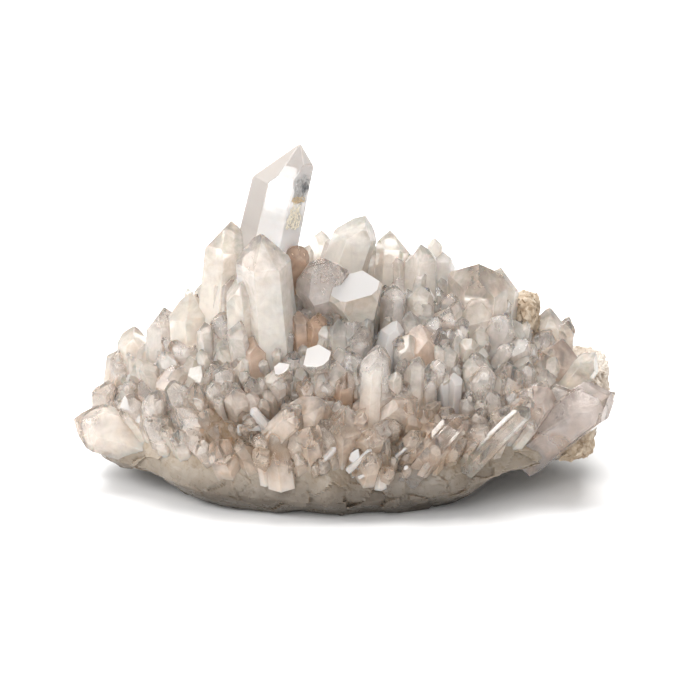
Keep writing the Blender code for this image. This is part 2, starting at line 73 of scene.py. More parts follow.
# u, v, lean to the right, tilt to the front, length, width, turn about the axis, shift of the tip, and the
# number of the end face that leads, 1 for the front one and 0 for none
crystalRows = (
    # left wing
    (-75.3, 24.5, -72, 8, 15, 14, 10, 0.0, 0),
    (-66.8, 35.2, -6, 12, 12, 6.5, 20, 0.1, 4),
    (-59.5, 50.4, 1, 10, 19, 9.5, 0, -0.05, 0),
    (-55.2, 47.2, 0, 5, 14, 5, 15, 0.1, 0),
    (-50.4, 56.0, -2, 12, 19, 10, 24, 0.1, 0),
    (-43.7, 59.5, -4, 14, 19, 11, 14, 0.05, 0),
    (-47.5, 54.5, -3, 8, 14, 5, 10, 0.0, 0),
    (-40.4, 49.0, 12, 15, 7, 2.2, 0, 0.0, 0),
    (-33.5, 49.3, 22, 22, 10, 4.5, 10, 0.0, 0),
    (-48.0, 40.0, -8, 25, 12, 8, 25, 0.1, 0),
    (-57.0, 36.0, -15, 30, 10, 8, 5, 0.0, 0),
    (-40.0, 40.0, 5, 30, 10, 7, 18, -0.1, 0),
    # crest, left of the tall point
    (-39.0, 64.0, -2, 8, 17, 5.5, 12, 0.0, 0),
    (-32.5, 79.3, 1, 14, 34, 12, 22, 0.05, 0),
    (-24.0, 75.6, 0, 26, 36, 12.8, 5, 0.0, 0),
    (-27.5, 65.5, -3, 28, 26, 10.5, 28, 0.1, 0),
    (-34.5, 59.0, -6, 22, 13, 7.5, 8, 0.0, 0),
    # crest, right of the tall point
    (-8.0, 68.5, -8, 40, 21, 14, 0, 0.0, 1),
    (-7.0, 77.6, 3, 8, 19, 5.5, 12, 0.0, 0),
    (-3.0, 75.6, 4, 6, 17, 6, 0, 0.1, 0),
    (5.4, 81.3, 18, 8, 26, 10, 16, 0.1, 0),
    (11.6, 77.2, -2, 10, 22, 8, 5, -0.15, 0),
    (16.2, 72.5, 2, 5, 17, 5, 20, 0.0, 0),
    (20.5, 73.6, 0, 12, 22, 8.5, 27, 0.0, 0),
    (24.5, 75.4, 2, 4, 17, 3.5, 10, 0.0, 0),
    (27.0, 71.4, 2, 12, 19, 6, 3, 0.0, 0),
    (36.5, 66.8, 0, 30, 22, 14, 0, 0.0, 4),
    (43.0, 66.6, 3, 10, 21, 8, 12, -0.2, 3),
    (43.2, 63.8, 2, 16, 17, 7, 25, 0.1, 0),
    (36.0, 61.0, 0, 20, 13, 7, 12, 0.0, 0),
    # right wing
    (57.0, 55.6, 8, 10, 14, 9, 10, 0.0, 0),
    (61.5, 52.5, 15, 8, 13, 6.5, 25, 0.0, 0),
    (60.0, 47.5, 22, 25, 13, 12, 15, 0.0, 0),
    (69.0, 43.5, 35, 5, 16, 7, 12, 0.0, 0),
    (72.2, 33.0, 58, 28, 25, 11.2, 24, 0.0, 0),
    (46.0, 53.0, 2, 22, 13, 9, 8, 0.0, 0),
    (50.0, 41.0, 4, 22, 12, 4.5, 18, 0.0, 0),
    (44.0, 41.0, -3, 28, 12, 8, 27, 0.0, 0),
    (55.0, 34.0, 30, 35, 14, 9, 5, 0.0, 0),
    # middle
    (2.5, 60.5, 6, 79, 25, 15, 26, 0.0, 4),
    (-13.5, 55.0, -4, 20, 13, 5.5, 7, 0.0, 0),
    (-8.0, 54.5, 3, 22, 13, 5.5, 20, 0.0, 0),
    (-2.5, 52.6, 0, 22, 13, 6, 10, 0.1, 0),
    (4.4, 50.5, 5, 22, 13, 7, 3, 0.1, 0),
    (13.5, 52.0, 12, 20, 14, 6.5, 14, 0.1, 0),
    (20.0, 51.0, -3, 24, 14, 9, 26, 0.0, 0),
    (25.5, 50.5, 2, 20, 14, 7, 5, 0.1, 0),
    (13.0, 62.0, 5, 18, 16, 7, 19, 0.0, 0),
    (20.0, 62.0, -4, 20, 16, 6.5, 2, 0.0, 0),
    (29.0, 60.0, 3, 20, 14, 6.5, 25, 0.0, 0),
    (-19.6, 55.4, -5, 20, 14, 6, 8, 0.0, 0),
    (-25.5, 48.0, -3, 28, 13, 7, 15, 0.0, 0),
    (-8.3, 42.0, -4, 79, 14, 8, 16, 0.0, 4),
    (-17.8, 39.0, -5, 78, 13, 4.6, 28, 0.0, 4),
    (28.0, 45.5, 2, 20, 12, 6.5, 12, 0.0, 0),
    # lower middle
    (-11.5, 37.5, -2, 25, 12, 5, 22, 0.0, 0),
    (-7.0, 38.6, 0, 25, 14, 4.6, 5, 0.0, 0),
    (0.0, 38.5, 2, 28, 12, 6, 17, 0.0, 0),
    (8.5, 45.5, 0, 20, 23, 8, 12, 0.15, 0),
    (18.7, 41.5, 0, 22, 17, 5.2, 5, 0.0, 0),
    (22.5, 40.5, 3, 24, 14, 5, 20, 0.0, 0),
    (26.0, 38.2, -4, 26, 11, 4, 8, 0.0, 0),
    (29.5, 38.0, 4, 26, 11, 4.2, 24, 0.0, 0),
    (34.3, 42.2, -2, 22, 15, 5, 14, 0.0, 0),
    (37.5, 40.4, 0, 26, 17, 6.8, 3, 0.0, 0),
    (19.3, 31.0, 50, 25, 16, 8, 30, 0.0, 0),
    (-0.5, 28.2, -3, 40, 14, 11, 29, 0.0, 0),
    (-6.0, 30.5, 45, 35, 16, 10, 3, 0.0, 0),
    (31.0, 26.2, 39, 38, 26, 6.5, 12, 0.0, 0),
    (49.4, 28.4, 49, 37, 30, 4.8, 24, 0.0, 0),
    (-18.0, 24.5, 0, 30, 12, 9, 10, 0.0, 4),
    (9.5, 23.2, 3, 26, 12, 5, 20, 0.0, 0),
    (-34.8, 23.5, -8, 60, 12, 8, 0, 0.0, 0),
    (-22.0, 22.2, 86, 2, 10, 4, 0, 0.0, 0),
    (-26.0, 28.6, -45, 15, 9, 2, 0, 0.0, 0),
    (6.9, 17.6, 54, 20, 11, 2.2, 7, 0.0, 0),
    (6.2, 15.0, 50, 20, 9, 2, 20, 0.0, 0),
    (6.0, 21.8, 70, 20, 8, 2, 0, 0.0, 0),
    (-13.4, 73.0, 4, 42, 24, 5.5, 10, 0.0, 0),
)

# Rows that stand out from the rest, by their tip: shade is lilac grey, partly the crystals' own tone and partly
# painted shade, most on the right end where less light falls, iron is tan, clear has less milk near the tip or,
# below nought, more, bright is a frosted white skin, facet is the milk of a cleaved end, a painted highlight,
# and alone has no smaller crystals beside it
rowTraits = {
    (72.2, 33.0): {"shade": 0.75}, (55.0, 34.0): {"shade": 0.5}, (60.0, 47.5): {"shade": 0.35},
    (43.2, 63.8): {"shade": 0.4}, (-8.0, 68.5): {"shade": 0.2, "alone": 1}, (25.5, 50.5): {"shade": 0.3},
    (31.0, 26.2): {"clear": 0.5, "shade": 0.25, "alone": 1}, (49.4, 28.4): {"clear": 0.6, "alone": 1},
    (5.4, 81.3): {"clear": -0.25, "alone": 1}, (-24.0, 75.6): {"alone": 1}, (-75.3, 24.5): {"shade": 0.05},
    (-7.0, 77.6): {"clear": 0.0}, (24.5, 75.4): {"clear": -0.3}, (-32.5, 79.3): {"clear": 0.1},
    (27.0, 71.4): {"clear": -0.4}, (-3.0, 75.6): {"clear": -0.3},
    (-8.0, 54.5): {"iron": 0.9}, (-13.5, 55.0): {"iron": 0.7}, (-25.5, 48.0): {"iron": 0.5},
    (-11.5, 37.5): {"iron": 0.8}, (0.0, 38.5): {"iron": 0.7}, (20.0, 51.0): {"iron": 0.5},
    (-48.0, 40.0): {"iron": 0.5}, (-34.8, 23.5): {"iron": 0.4}, (-40.4, 49.0): {"iron": 0.6},
    (-13.4, 73.0): {"iron": 0.8, "alone": 1}, (2.5, 60.5): {"facet": 1.0}, (-17.8, 39.0): {"facet": 0.6},
    (6.9, 17.6): {"bright": 0.55}, (6.2, 15.0): {"bright": 0.55}, (6.0, 21.8): {"bright": 0.55},
    (-26.0, 28.6): {"bright": 0.4}, (-22.0, 22.2): {"bright": 0.55}, (13.5, 52.0): {"bright": 0.45},
    (26.0, 38.2): {"bright": 0.45}, (29.5, 38.0): {"bright": 0.45},
}

tallPoint = {
    # u, v, lean, tilt and length as in the rows; milk has one value for each plane: sides, ends and foot; the
    # high milk on the left front side and end gives them the darker deep colour, painted shade
    "place": (-12.8, 101.2, 12.5, 12, 54), "index": 999, "bevel": 0.2,
    "sides": (8.0, 6.9, 6.9, 8.0, 6.9, 6.9), "tipShift": (2.9, 0.8),
    "milk": (0.25, 0.5, 0.2, 0.1, 0.2, 0.94, 0.5, 0.8, 0.3, 0.2, 0.4, 1.0, 1.0),
    "veilInset": 0.5, "veilDrop": 0.7,
}

# The crystals that cover the rest of the mass, in four sizes: as many tries, room round each root, least and
# greatest length and width, lowest and highest root, all in mm, how far up and how much by chance they lean,
# and the chance past which one has a painted glint, a milky white end face that stands in for a highlight
cover = {
    "first": 1000, "tries": 430, "room": 7.4, "length": (9.0, 16.0), "width": (6.0, 10.0), "lowest": 6.5,
    "highest": 99.0, "seed": 2.0, "upward": 0.9, "scatter": 0.95, "glints": 0.93,
}
blocks = {
    "first": 8000, "tries": 700, "room": 5.4, "length": (7.0, 12.0), "width": (3.5, 6.5), "lowest": 6.0,
    "highest": 14.0, "seed": 2.7, "upward": 0.9, "scatter": 1.1, "glints": 0.9,
}
filler = {
    "first": 3000, "tries": 1100, "room": 4.2, "length": (8.0, 13.5), "width": (4.0, 7.0), "lowest": 6.0,
    "highest": 99.0, "seed": 1.3, "upward": 0.7, "scatter": 0.6, "glints": 0.86,
}
fine = {
    "first": 5000, "tries": 2400, "room": 2.7, "length": (5.5, 11.0), "width": (2.4, 5.0), "lowest": 6.0,
    "highest": 99.0, "seed": 0.7, "upward": 0.6, "scatter": 0.5, "glints": 0.82,
}
covering = {
    # the glint milk is the milk of a painted glint, a white end face standing in for a highlight
    "reachAlong": 0.94, "reachAcross": 0.97, "tipShift": 0.4, "paintedGlintMilk": 0.9,
    # no tip rises past this line of the sheet
    "outline": ((-76, 18), (-68, 28), (-60, 42), (-50, 50), (-40, 56), (-30, 68), (-20, 72), (-5, 70), (10, 70),
                (25, 66), (40, 60), (50, 53), (60, 46), (68, 38), (76, 30)),
}

# Thin bright crystals that lie across the front, in rows as above: they stand off from the mass by the lift
bars = {
    "first": 900, "lift": 5.0, "depth": 0.6, "milk": 0.4,
    "rows": (
        (6.8, 17.2, 53, 22, 9, 1.4, 5, 0.0, 0), (7.9, 11.4, 66, 25, 5, 0.9, 5, 0.0, 0),
        (7.4, 14.2, 58, 25, 5, 0.7, 20, 0.0, 0), (-22.4, 22.4, 84, 10, 7, 2.6, 0, 0.0, 0),
        (-26.2, 28.4, -44, 25, 8, 2.2, 10, 0.0, 0), (6.2, 22.3, 72, 22, 6, 1.1, 0, 0.0, 0),
        (-3.0, 17.8, 48, 25, 7, 1.8, 10, 0.0, 0), (17.4, 18.5, 54, 22, 5, 0.9, 0, 0.0, 0),
        (-17.5, 43.4, 76, 22, 8, 1.5, 0, 0.0, 0),
    ),
}

# Smaller crystals beside the large ones: reach, lower end and size are a share of the large one's width,
# length and width, and up to the second more
beside = {
    "first": 20000, "scatter": 0.4, "lowestWay": -0.25, "reach": (0.38, 0.27), "lower": (0.08, 0.4),
    "size": (0.36, 0.42), "splay": 0.06, "tipShift": 0.3, "turn": 20, "number": (2, 2.5), "largeFrom": 2.4,
}
# The milk inside a crystal: set in by a share of the width and a skin in mm, its tip dropped by a share of the
# width, and up to the second more where the crystal is clear; there is none from that clearness on
heart = {
    "inset": 0.13, "skin": 0.15, "thinnest": 0.15, "drop": (0.15, 1.3), "mostDrop": 0.7, "lift": 0.5,
    "noneFrom": 0.45,
}

# The remnants of host rock: the middle and half sizes in mm, and the seed of the grain
rocks = {
    "host_rock_rim": ((65.0, 8.0, 24.8), (8.0, 16.0, 6.0), 4.0),
    "host_rock_low": ((62.0, -12.0, 15.5), (6.0, 9.0, 6.0), 6.0),
    "host_rock_crest": ((48.5, 12.0, 40.5), (5.2, 8.5, 7.5), 9.0),
}
rockShape = {"clearance": 1.2, "around": 200, "along": 130, "squareness": 3, "shrink": 0.95}


def chance(number, channel):
    # The broken part of a big sine: a repeatable number from 0 to 1 for each whole number
    value = np.sin(np.asarray(number, float) * 12.9898 + channel * 78.233) * 43758.5453
    return value - np.floor(value)


def tableAt(table, x):
    # Straight lines between the table's points
    places, values = zip(*table)
    return np.interp(x, places, values)


def halfDepthAt(x):
    # An oval plan: the half depth falls off as the root of one less the share of the length squared
    return massShape["halfDepth"] * np.sqrt(np.clip(1 - (x / massShape["halfLength"]) ** 2, 0, 1))


def massTop(x, y):
    # From the widest line up to the crest, by a power of the half-oval section's height
    depth = np.maximum(halfDepthAt(x), 1e-6)
    height = np.sqrt(np.clip(1 - (y / depth) ** 2, 0, 1))
    widest = tableAt(massShape["widest"], x)
    return widest + (tableAt(massShape["crest"], x) - widest) * height ** massShape["domePower"]


def sheetV(y, z):
    # How far up the sheet a point shows: its depth and its height, each by its share of the lean
    return (y + layout["footFront"]) * leanSin + z * leanCos


def pointOnMass(u, v):
    # Where the sight line square to the sheet through u, v first meets the front of the mass
    reach = massShape["rootsAlong"] * massShape["halfLength"]
    x = float(np.clip(u, -reach, reach))
    ys = np.linspace(*massShape["rootsAcross"], massShape["sightSteps"]) * halfDepthAt(x)
    vs = sheetV(ys, massTop(x, ys))
    crest = int(np.argmax(vs))
    y = float(np.interp(v, vs[: crest + 1], ys[: crest + 1]))
    return np.array([u, y, (v - (y + layout["footFront"]) * leanSin) / leanCos])


def unit(vectors):
    # Each vector divided by its own length
    return vectors / np.linalg.norm(vectors, axis=-1, keepdims=True)


# The sheet's right, up and front directions
sheetSides = np.array([[1, 0, 0], [0, leanSin, leanCos], [0, -leanCos, leanSin]])


def sheetAxes(lean, tilt):
    # The axis is the sheet's up direction turned by lean towards its right, then raised by tilt to the front
    right, up, front = sheetSides
    lean, tilt = math.radians(lean), math.radians(tilt)
    axis = (right * math.sin(lean) + up * math.cos(lean)) * math.cos(tilt) + front * math.sin(tilt)
    across = right * math.cos(lean) - up * math.sin(lean)
    return axis, across, unit(np.cross(across, axis))


def crystalRecord(index, root, axes, length, sides, turn, shift, ends):
    # What shapes one crystal: its tip lies its length along the axis from its root
    axis, across, front = axes
    return {
        "index": index, "root": root, "tip": root + axis * length, "axis": axis, "across": across,
        "front": front, "length": length, "sides": np.array(sides), "turn": turn, "shift": shift,
        "ends": np.array(ends),
    }


def sideReach(index, width):
    # Each side's distance from the axis: a share of the width, and more by chance
    first, more = crystalShape["sides"]
    return width * (first + more * chance(index, np.arange(6)))


def tipShift(index, reach):
    # Off the axis by chance, by up to half the reach either way
    return (reach * (chance(index, 25) - 0.5), reach * (chance(index, 26) - 0.5))


def endOffsets(index, width, lead=0, standOff=0.0):
    # How far each end face stands off from the tip: every second one by more, each by chance, and all but
    # the leading one by the most
    face = np.arange(6)
    offsets = (crystalShape["endStep"] * ((face + np.round(chance(index, 21))) % 2)
               + crystalShape["endScatter"] * chance(index, 10 + face) ** 2)
    if lead:
        offsets = offsets + standOff * (face != lead - 1)
    return width * (offsets - offsets.min())


def rootBelow(u, v, lean, tilt, length):
    # Back from the tip along the axis as it shows on the sheet, then onto the mass
    shown = length * math.cos(math.radians(tilt))
    slant = math.radians(lean)
    return pointOnMass(u - shown * math.sin(slant), v - shown * math.cos(slant))


def sheetCrystal(index, row):
    # A row's crystal: rooted on the mass below its tip, with a milky end where it is cleaved; that milky end is
    # a painted highlight
    u, v, lean, tilt, length, width, turn, shift, lead = row
    lean += crystalShape["leanScatter"] * (float(chance(index, 31)) - 0.5)
    root = rootBelow(u, v, lean, tilt, length)
    most, least = crystalShape["tipShift"]
    place = (shift * width, width * most * (chance(index, 20) - least))
    cleaved = tilt > crystalShape["cleavedTilt"]
    standOff = crystalShape["cleavedStandOff" if cleaved else "standOff"]
    crystal = crystalRecord(index, root, sheetAxes(lean, tilt), length, sideReach(index, width), turn, place,
                            endOffsets(index, width, lead, standOff))
    traits = rowTraits.get((u, v), {})
    if abs(lean) > crystalShape["lyingLean"]:
        crystal["depth"] = crystalShape["lyingDepth"]
    # The cleaved end's milk is a painted highlight: a white face where a reflection would be
    milk = traits.get("facet", crystalShape["cleavedHighlightMilk"])
    facet = milk * cleaved * (np.arange(13) == 5 + lead)
    crystal["milk"] = np.maximum(facet, traits.get("bright", 0.0))
    return dict(crystal, **{name: traits.get(name, 0.0) for name in ("shade", "iron", "clear", "alone")})


def barCrystal(index, row):
    # A row's crystal, moved off the mass towards the front by the lift
    crystal = sheetCrystal(index, row)
    lifted = sheetSides[2] * bars["lift"]
    return dict(crystal, root=crystal["root"] + lifted, tip=crystal["tip"] + lifted,
                milk=np.full(13, bars["milk"]), depth=bars["depth"])


def tallCrystal():
    # The clear point: even end faces, a tip set off the axis, and milk by plane
    u, v, lean, tilt, length = tallPoint["place"]
    crystal = crystalRecord(tallPoint["index"], rootBelow(u, v, lean, tilt, length), sheetAxes(lean, tilt),
                            length, tallPoint["sides"], 0, tallPoint["tipShift"], np.zeros(6))
    return dict(crystal, milk=tallPoint["milk"])


def nearRock(place):
    # On the plan, nearer to a rock's middle than its half length times the clearance
    return any(
        math.hypot(place[0] - middle[0], place[1] - middle[1]) < rockShape["clearance"] * half[0]
        for middle, half, seed in rocks.values()
    )


def between(limits, share):
    # From the first limit at nought straight to the second at one
    return limits[0] + (limits[1] - limits[0]) * share


def coverCrystals(taken, rule):
    # A sunflower pattern over the plan: the radius grows as the sine of the root of the count, the angle by
    # the golden angle; a place is kept where no other root is nearer than the room that it needs
    count = np.arange(rule["tries"])
    radius = np.sin(math.pi / 2 * np.sqrt((count + 0.5) / rule["tries"]))
    angle = math.pi * (3 - math.sqrt(5)) * count + rule["seed"]
    xs = covering["reachAlong"] * massShape["halfLength"] * radius * np.cos(angle)
    ys = covering["reachAcross"] * massShape["halfDepth"] * radius * np.sin(angle)
    zs = massTop(xs, ys)
    slopeX = (massTop(xs + 1, ys) - massTop(xs - 1, ys)) / 2
    slopeY = (massTop(xs, ys + 1) - massTop(xs, ys - 1)) / 2
    outward = unit(np.stack([-slopeX, -slopeY, np.ones_like(xs)], -1))
    index = rule["first"] + count
    scatter = np.stack([chance(index, 1) - 0.5, chance(index, 2) - 0.5, 0 * xs], -1)
    axes = unit(outward + np.array([0, 0, rule["upward"]]) + scatter * rule["scatter"])
    lengths = between(rule["length"], chance(index, 3))
    widths = between(rule["width"], chance(index, 4))
    made = []
    taken = list(taken)
    for i, root in enumerate(np.stack([xs, ys, zs], -1)):
        if root[2] < rule["lowest"] or np.min(np.linalg.norm(np.array(taken) - root, axis=1)) < rule["room"]:
            continue
        length, width, axis = lengths[i], widths[i], axes[i]
        tip = root + axis * length
        tooHigh = sheetV(tip[1], tip[2]) - tableAt(covering["outline"], tip[0])
        length -= max(0, tooHigh)
        if length < rule["length"][0] / 2 or root[2] > rule["highest"] or nearRock(root):
            continue
        taken.append(root)
        across = unit(np.cross([0, -1, 0], axis))
        crystal = crystalRecord(index[i], root, (axis, across, np.cross(across, axis)), length,
                                sideReach(index[i], width), 60 * chance(index[i], 27),
                                tipShift(index[i], width * covering["tipShift"]), endOffsets(index[i], width))
        # A painted glint: one end face made milky white, standing in for a highlight
        paintedGlint = chance(index[i], 50) > rule["glints"]
        crystal["milk"] = covering["paintedGlintMilk"] * paintedGlint * (np.arange(13) == 6 + int(6 * chance(index[i], 51)))
        made.append(crystal)
    return made, taken


def companions(crystal, number):
    # Smaller crystals grown round a larger one, nearly parallel to it and ending lower
    made = []
    width = crystal["sides"].mean() * 2
    for k in range(number):
        index = beside["first"] + 4 * int(crystal["index"]) + k
        turn = math.tau * (chance(index, 1) + k / number)
        way = crystal["across"] * math.cos(turn) + crystal["front"] * math.sin(turn)
        if way[2] < beside["lowestWay"]:
            continue
        shares = (("reach", width, 2), ("lower", crystal["length"], 3), ("size", width, 4))
        reach, lower, size = [
            whole * (beside[name][0] + beside[name][1] * chance(index, channel))
            for name, whole, channel in shares
        ]
        scatter = np.array([chance(index, channel) for channel in (6, 7, 8)]) - 0.5
        axis = unit(crystal["axis"] + way * beside["splay"] + scatter * beside["scatter"])
        across = unit(np.cross(crystal["front"], axis)) * -1
        front = unit(np.cross(across, axis))
        made.append(crystalRecord(index, crystal["root"] + way * reach, (axis, across, front),
                                  crystal["length"] - lower, sideReach(index, size),
                                  crystal["turn"] + beside["turn"] * chance(index, 27),
                                  tipShift(index, size * beside["tipShift"]), endOffsets(index, size)))
    return made


def crystalPlanes(crystal):
    # Six side planes round the axis, six end planes sloped as quartz's are, and a foot plane:
    # each is an outward direction and the distance that it cuts off along that direction
    axis, across, front = crystal["axis"], crystal["across"], crystal["front"]
    angles = np.radians(crystal["turn"] + 60 * np.arange(6) - 90)[:, None]
    outward = across * np.cos(angles) - front * np.sin(angles)
    centre = crystal["tip"] - across * crystal["shift"][0] - front * crystal["shift"][1]
    sideNormals = unit(outward + axis * crystalShape["taper"])
    shoulder = centre - axis * crystalShape["shoulder"] * crystal["sides"].max()
    sidePoints = shoulder + outward * crystal["sides"][:, None]
    endNormals = unit(outward * crystalShape["endSlope"] + axis)
    endPoints = crystal["tip"] + axis * crystal["ends"][:, None]
    depth = min(crystal.get("depth", crystalShape["rootDepth"]),
                crystalShape["rootShare"] * crystal["root"][2] / max(axis[2], 0.1))
    normals = np.concatenate([sideNormals, endNormals, [-axis]])
    points = np.concatenate([sidePoints, endPoints, [crystal["root"] - axis * depth]])
    return normals, np.einsum("ij,ij->i", normals, points)


def core(crystal):
    # The milky heart of a crystal: its sides set in by a share of the width, its tip lowered by more where
    # the crystal is clear
    width = crystal["sides"].mean() * 2
    inset = heart["inset"] * width + heart["skin"]
    clear = max(0, chance(crystal["index"], 41) ** 1.5 + 2 * crystal.get("clear", 0))
    drop = width * (heart["drop"][0] + heart["drop"][1] * clear)
    drop = min(drop, heart["mostDrop"] * crystal["length"])
    return dict(crystal, sides=np.maximum(crystal["sides"] - inset, heart["thinnest"] * width),
                tip=crystal["tip"] - crystal["axis"] * drop,
                root=crystal["root"] + crystal["axis"] * heart["lift"])


# Every three of a crystal's thirteen planes: six sides, six ends and a foot
triples = np.array(list(itertools.combinations(range(13), 3)))


def planeSolid(normals, offsets):
    # Every corner is where three planes cross and no plane cuts the crossing off; crossings within 0.02 mm
    # are one corner of all their planes; a face is the corners of one plane, in order of their angle about
    # its middle
    crossings = normals[triples]
    sound = np.abs(np.linalg.det(crossings)) > 1e-5
    corners = np.linalg.solve(crossings[sound], offsets[triples[sound]][..., None])[..., 0]
    whole = np.all(corners @ normals.T <= offsets + 1e-6, axis=1)
    corners, planes = corners[whole], triples[sound][whole]
    apart = np.linalg.norm(corners[:, None] - corners[None], axis=-1)
    first = np.argmax(apart < 0.02, axis=1)
    first = first[first]
    kept, number = np.unique(first, return_inverse=True)
    onPlane = np.zeros((len(kept), len(normals)), bool)
    onPlane[number[:, None], planes] = True
    corners = corners[kept]
    faces = []
    for normal, touching in zip(normals, onPlane.T):
        which = np.flatnonzero(touching)
        if len(which) < 3:
            continue
        arms = corners[which] - corners[which].mean(0)
        side = unit(np.cross(normal, arms[0]))
        turns = np.arctan2(arms @ np.cross(normal, side), arms @ side)
        faces.append(which[np.argsort(turns)].tolist())
    return corners, faces, np.flatnonzero(onPlane.sum(0) > 2)


def toMetres(points):
    # From the layout in mm to the frame in metres
    return (points - np.array([*layout["middle"], 0])) * mm


def crystalMesh(crystal):
    # The growth map holds each corner's share of the length from root to tip, and its height in cm
    corners, faces, plane = planeSolid(*crystalPlanes(crystal))
    mesh = bpy.data.meshes.new("crystal")
    mesh.from_pydata(toMetres(corners).tolist(), [], faces)
    rise = (corners - crystal["root"]) @ crystal["axis"]
    ofCorner = np.empty(len(mesh.loops), np.int32)
    mesh.loops.foreach_get("vertex_index", ofCorner)
    growth = np.stack([rise / crystal["length"], rise / 10], -1)[ofCorner]
    mesh.uv_layers.new(name="growth").data.foreach_set("uv", growth.ravel())
    milk = np.array(crystal.get("milk", np.zeros(13)))[plane]
    whole = {name: np.full(len(faces), crystal.get(name, 0.0)) for name in ("shade", "iron", "clear")}
    whole["seed"] = np.full(len(faces), chance(crystal["index"], 40))
    for name, values in dict(whole, milk=milk).items():
        mesh.attributes.new(name, "FLOAT", "FACE").data.foreach_set("value", values)
    return mesh


def joined(name, meshes, bevel):
    # One closed skin round all the crystals: each is bevelled, then they are united
    others = bpy.data.collections.new(name + "Parts")
    objects = [bpy.data.objects.new(name, mesh) for mesh in meshes]
    if bevel:
        for obj in objects:
            edge = obj.modifiers.new("edges", "BEVEL")
            edge.width = bevel * mm
            edge.segments = 1
            edge.limit_method = "ANGLE"
            edge.angle_limit = math.radians(crystalShape["bevelAngle"])
    for obj in objects[1:]:
        others.objects.link(obj)
    bpy.context.scene.collection.objects.link(objects[0])
    bpy.context.scene.collection.children.link(others)
    if len(objects) > 1:
        union = objects[0].modifiers.new("union", "BOOLEAN")
        union.operation = "UNION"
        union.operand_type = "COLLECTION"
        union.collection = others
        union.solver = "MANIFOLD"
    graph = bpy.context.evaluated_depsgraph_get()
    mesh = bpy.data.meshes.new_from_object(objects[0].evaluated_get(graph))
    for obj in objects:
        bpy.data.objects.remove(obj)
    bpy.data.collections.remove(others)
    mesh.name = name
    piece = bpy.data.objects.new(name, mesh)
    bpy.context.scene.collection.objects.link(piece)
    return piece


def gridPiece(name, points):
    # A closed tube from a grid of points: rows run round, and the first and last rows are single poles
    rows, columns = points.shape[:2]
    inner = points[1:-1].reshape(-1, 3)
    verts = np.concatenate([inner, points[0, :1], points[-1, :1]])
    row = np.arange(rows - 3)[:, None] * columns
    here = np.arange(columns)
    there = np.roll(here, -1)
    quads = np.stack([row + here, row + there, row + columns + there, row + columns + here], -1).reshape(-1, 4)
    first, last = len(inner), len(inner) + 1
    bottom = (rows - 3) * columns
    caps = [np.stack([np.full(columns, first), there, here], -1),
            np.stack([np.full(columns, last), bottom + here, bottom + there], -1)]
    mesh = bpy.data.meshes.new(name)
    mesh.from_pydata(verts.tolist(), [], quads.tolist() + caps[0].tolist() + caps[1].tolist())
    piece = bpy.data.objects.new(name, mesh)
    bpy.context.scene.collection.objects.link(piece)
    return piece


def ballGrid(around, along):
    # A unit ball: rows run round it, from the pole at the top down to the other
    turn = np.linspace(0, 2 * math.pi, around, endpoint=False)[None, :]
    polar = np.linspace(0, math.pi, along)[:, None]
    return np.stack([np.sin(polar) * np.cos(turn), np.sin(polar) * np.sin(turn), np.cos(polar) + 0 * turn], -1)


noiseTable = np.random.default_rng(7).random((32, 32, 32))


def cloud(points, size, seed):
    # Value noise: random numbers on a lattice of that size in mm, blended smoothly between lattice corners
    scaled = points / size + seed * 7.31
    low = np.floor(scaled).astype(int)
    part = scaled - low
    part = part * part * (3 - 2 * part)
    total = 0
    for corner in itertools.product((0, 1), repeat=3):
        weight = np.prod(np.where(corner, part, 1 - part), axis=-1)
        total = total + weight * noiseTable[tuple(np.moveaxis((low + corner) % 32, -1, 0))]
    return total * 2 - 1


def shards(points, size, seed):
    # Broken facets: each point takes the height of its nearest seed's own tilted plane
    scaled = points / size + seed * 3.17
    low = np.floor(scaled).astype(int)
    best = np.full(points.shape[:-1], 9.0)
    height = np.zeros(points.shape[:-1])
    for corner in itertools.product((-1, 0, 1), repeat=3):
        cell = (low + corner) % 32
        lattice = tuple(np.moveaxis(cell, -1, 0))
        jitter = np.stack([noiseTable[lattice], noiseTable[lattice[::-1]],
                           noiseTable[lattice[1:] + lattice[:1]]], -1)
        arm = scaled - (low + corner + jitter)
        far = np.linalg.norm(arm, axis=-1)
        tilt = np.stack([noiseTable[lattice[2:] + lattice[:2]], jitter[..., 0], jitter[..., 1]], -1) - 0.5
        plane = np.einsum("...i,...i->...", arm, tilt) * 1.6 + jitter[..., 2] * 0.5
        nearer = far < best
        best = np.where(nearer, far, best)
        height = np.where(nearer, plane, height)
    return height


class Signal:
    # A socket that takes part in Python sums: each operator adds its Math node to the graph
    def __init__(self, graph, socket):
        self.graph = graph
        self.socket = socket

    def math(self, operation, *values):
        return self.graph.math(operation, *values)

    def __add__(self, other):
        return self.math("ADD", self, other)

    def __radd__(self, other):
        return self.math("ADD", other, self)

    def __sub__(self, other):
        return self.math("SUBTRACT", self, other)

    def __rsub__(self, other):
        return self.math("SUBTRACT", other, self)

    def __mul__(self, other):
        return self.math("MULTIPLY", self, other)

    def __rmul__(self, other):
        return self.math("MULTIPLY", other, self)

    def __pow__(self, other):
        return self.math("POWER", self, other)

    def most(self, other):
        return self.math("MAXIMUM", self, other)

    def least(self, other):
        return self.math("MINIMUM", self, other)

    def part(self, name):
        # Another output of the same node
        return Signal(self.graph, self.socket.node.outputs[name])

    def ramp(self, low, high, fromValue=0.0, toValue=1.0):
        # A smooth step: fromValue up to low, toValue from high on
        return self.graph.add("ShaderNodeMapRange", {"interpolation_type": "SMOOTHSTEP"},
                              {0: self, 1: low, 2: high, 3: fromValue, 4: toValue})


